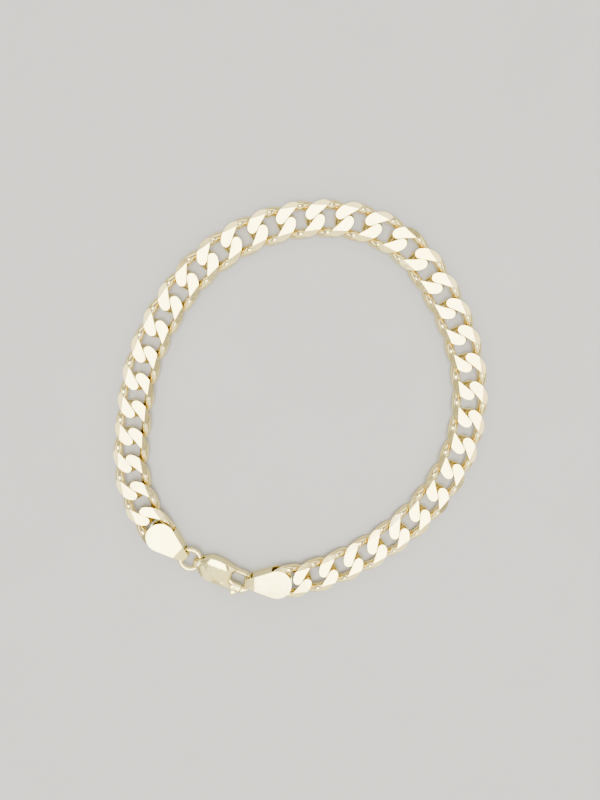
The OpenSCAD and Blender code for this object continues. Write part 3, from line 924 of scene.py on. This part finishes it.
def gold_material(name, pale, warm, finish, wear=1.0, marks=1.0):
    """Polished gold: tone from the cloud with painted shade between the links, roughness and bump
    from the marks. It is made once, and found by its name after that."""
    found = bpy.data.materials.get(name)
    if found:
        return found
    material, tree, shader = new_material(name)
    place = add_node(tree, "ShaderNodeTexCoord", {}).outputs["Object"]
    # Painted shade between the links: the value that one_link stores on the mesh
    painted_shade = add_node(tree, "ShaderNodeAttribute", {"attribute_name": "painted_shade"}).outputs["Fac"]
    colour = group_node(tree, "Gold tone and painted shade", gold_tone_and_shade_group, {
        "Coordinates": place, "Pale": (*pale, 1), "Warm": (*warm, 1),
        "Shaded Gold": (*finish.painted_shade, 1), "Painted Shade": painted_shade})
    polish = group_node(tree, "Polish marks", polish_group, {
        "Coordinates": place, "Smooth": SMOOTHEST * wear * finish.roughness,
        "Worn": ROUGHEST * wear * finish.roughness, "Marks": marks * finish.marks})
    bump = add_node(tree, "ShaderNodeBump", {
        "Height": polish.outputs["Height"], "Strength": 1.0, "Distance": MARK_DEPTH})
    for label, value in (("Base Color", colour.outputs["Color"]), ("Metallic", 1.0),
                         ("Roughness", polish.outputs["Roughness"]),
                         ("Normal", bump.outputs["Normal"])):
        feed(tree, shader.inputs[label], value)
    return material


def chain_gold(scene):
    """The gold of the links."""
    finish = scene.gold_finish
    return gold_material("ground_gold", finish.pale, finish.warm, finish)


def clasp_gold(scene):
    """The gold of the tabs, ring and clasp, a little more worn and with shallower marks."""
    finish = scene.gold_finish
    return gold_material("fitting_gold", finish.clasp_pale, finish.clasp_warm, finish,
                         wear=1.1, marks=0.8)


class BRACELET_OT_links(Operator):
    """Makes all the links of the chain"""
    bl_idname = "bracelet.links"
    bl_label = "Links"

    def execute(self, context):
        plan, gold = planned(context.scene), chain_gold(context.scene)
        link = one_link(plan)
        for number, place in enumerate(link_places(plan), 1):
            piece(f"chain_link_{number:02d}", f"link_{number:02d}", link.data.copy(), place,
                  gold)
        discard(link)
        return {"FINISHED"}


class BRACELET_OT_end_tabs(Operator):
    """Makes the two end tabs"""
    bl_idname = "bracelet.end_tabs"
    bl_label = "End tabs"

    def execute(self, context):
        plan, gold = planned(context.scene), clasp_gold(context.scene)
        tab = one_tab(plan)
        for side, place in (("left", plan.tab_left), ("right", plan.tab_right)):
            piece(f"folded_tab_{side}", f"end_tab_{side}", tab.data.copy(), place, gold)
        discard(tab)
        return {"FINISHED"}


class BRACELET_OT_ring(Operator):
    """Makes the jump ring between the left tab and the clasp"""
    bl_idname = "bracelet.ring"
    bl_label = "Jump ring"

    def execute(self, context):
        plan, gold = planned(context.scene), clasp_gold(context.scene)
        ring = solid("work_ring", ring_skin(plan),
                     [grid_faces(RING_STATIONS, RING_SIDES, True, True)])
        ring.data.shade_smooth()
        place = (np.eye(3), np.append(plan.ring_at, plan.mid_z))
        piece("round_ring", "jump_ring", ring.data.copy(), place, gold)
        discard(ring)
        return {"FINISHED"}


class BRACELET_OT_clasp(Operator):
    """Makes the clasp's body, lever and pin"""
    bl_idname = "bracelet.clasp"
    bl_label = "Clasp"

    def execute(self, context):
        plan, gold = planned(context.scene), clasp_gold(context.scene)
        for name, node, body, make in (("clasp_shell", "clasp_body", "bracelet", clasp_body),
                                       ("thumb_lever", "clasp_lever", "clasp_lever", clasp_lever),
                                       ("hinge_pin", "pivot_pin", "bracelet", pivot_pin)):
            work = make(plan)
            piece(name, node, work.data.copy(), plan.on_clasp, gold, body=body)
            discard(work)
        return {"FINISHED"}


def plain_floor(look):
    """The floor: a wide plain square with a faint grain."""
    corners = FLOOR_HALF * np.array([[-1, -1, 0], [1, -1, 0], [1, 1, 0], [-1, 1, 0]])
    mesh = bpy.data.meshes.new("floor")
    mesh.from_pydata(corners.tolist(), [], [[0, 1, 2, 3]])
    floor = new_object("floor", mesh)
    pale, tree, shader = new_material("pale_floor")
    shader.inputs["Roughness"].default_value = 0.75
    place = add_node(tree, "ShaderNodeTexCoord", {}).outputs["Object"]
    grain = add_node(tree, "ShaderNodeTexNoise", {"Vector": place, "Scale": 60.0, "Detail": 4.0})
    low, high = (tuple(shade * c for c in look.floor) + (1,) for shade in FLOOR_SHADES)
    tree.links.new(mixed(tree, grain.outputs["Fac"], low, high), shader.inputs["Base Color"])
    mesh.materials.append(pale)


def soft_light(name, place, target, size, power, colour):
    """A soft box that faces a target."""
    data = bpy.data.lights.new(name, "AREA")
    data.shape, data.size, data.size_y = "RECTANGLE", size[0], size[1]
    data.energy, data.color = power, colour
    lamp, way = new_object(name, data), Vector(target) - Vector(place)
    lamp.location, lamp.rotation_euler = place, way.to_track_quat("-Z", "Y").to_euler()


def studio_lights(look):
    """A broad light overhead that faces straight down, long ones low at three sides, and a
    larger one low at the near side."""
    soft_light("key_light", KEY_PLACE, KEY_TARGET, KEY_SIZE, look.key, KEY_COLOUR)
    for name, x, y in (("left", -1, 0), ("right", 1, 0), ("far", 0, 1)):
        soft_light(f"{name}_light", (SIDE_OUT * x, SIDE_OUT * y, SIDE_HEIGHT), (0, 0, 0),
                   SIDE_SIZE, look.side, SIDE_COLOUR)
    soft_light("near_light", NEAR_PLACE, (0, 0, 0), NEAR_SIZE, NEAR_SHARE * look.side, NEAR_COLOUR)


def even_room(look):
    """The room's even light."""
    world = bpy.data.worlds.new("room")
    world.use_nodes = True
    room = world.node_tree.nodes["Background"]
    room.inputs["Color"].default_value = ROOM_COLOUR
    room.inputs["Strength"].default_value = look.sky
    return world


def tilted_camera(look):
    """The camera, a little off straight down."""
    data = bpy.data.cameras.new("camera")
    data.lens, data.sensor_width = look.lens, 36
    data.clip_start, data.clip_end = 0.005, 20
    camera = new_object("camera", data)
    camera.location = look.camera_place
    camera.rotation_euler = (look.camera_tilt, 0, 0)
    return camera


class BRACELET_OT_stage(Operator):
    """Makes the floor, the studio light and the camera"""
    bl_idname = "bracelet.stage"
    bl_label = "Stage"

    def execute(self, context):
        look = context.scene.stage_look
        plain_floor(look)
        studio_lights(look)
        context.scene.world = even_room(look)
        context.scene.camera = tilted_camera(look)
        return {"FINISHED"}


class BRACELET_PT_panel(Panel):
    """Lists the sizes, the finish and the pieces"""
    bl_idname = "BRACELET_PT_panel"
    bl_label = "Bracelet"
    bl_space_type = "VIEW_3D"
    bl_region_type = "UI"
    bl_category = "Bracelet"

    def draw(self, context):
        for group in PROPERTIES:
            box = self.layout.box()
            settings = getattr(context.scene, group)
            for key in settings.__annotations__:
                box.prop(settings, key)
        for step in STEPS:
            self.layout.operator(step.bl_idname)


PROPERTIES = {"chain_sizes": ChainSizes, "tab_sizes": TabSizes, "clasp_sizes": ClaspSizes,
              "gold_finish": GoldFinish, "stage_look": StageLook}
STEPS = (BRACELET_OT_links, BRACELET_OT_end_tabs, BRACELET_OT_ring, BRACELET_OT_clasp,
         BRACELET_OT_stage)
CLASSES = (*PROPERTIES.values(), *STEPS, BRACELET_PT_panel)


def register():
    """Registers the classes and hangs the settings on the scene."""
    for kind in CLASSES:
        bpy.utils.register_class(kind)
    for name, kind in PROPERTIES.items():
        setattr(bpy.types.Scene, name, PointerProperty(type=kind))


def unregister():
    """Takes the settings and the classes away again."""
    for name in PROPERTIES:
        delattr(bpy.types.Scene, name)
    for kind in reversed(CLASSES):
        bpy.utils.unregister_class(kind)


def main():
    register()
    bpy.ops.bracelet.links()
    bpy.ops.bracelet.end_tabs()
    bpy.ops.bracelet.ring()
    bpy.ops.bracelet.clasp()
    bpy.ops.bracelet.stage()


if __name__ == "__main__":
    main()
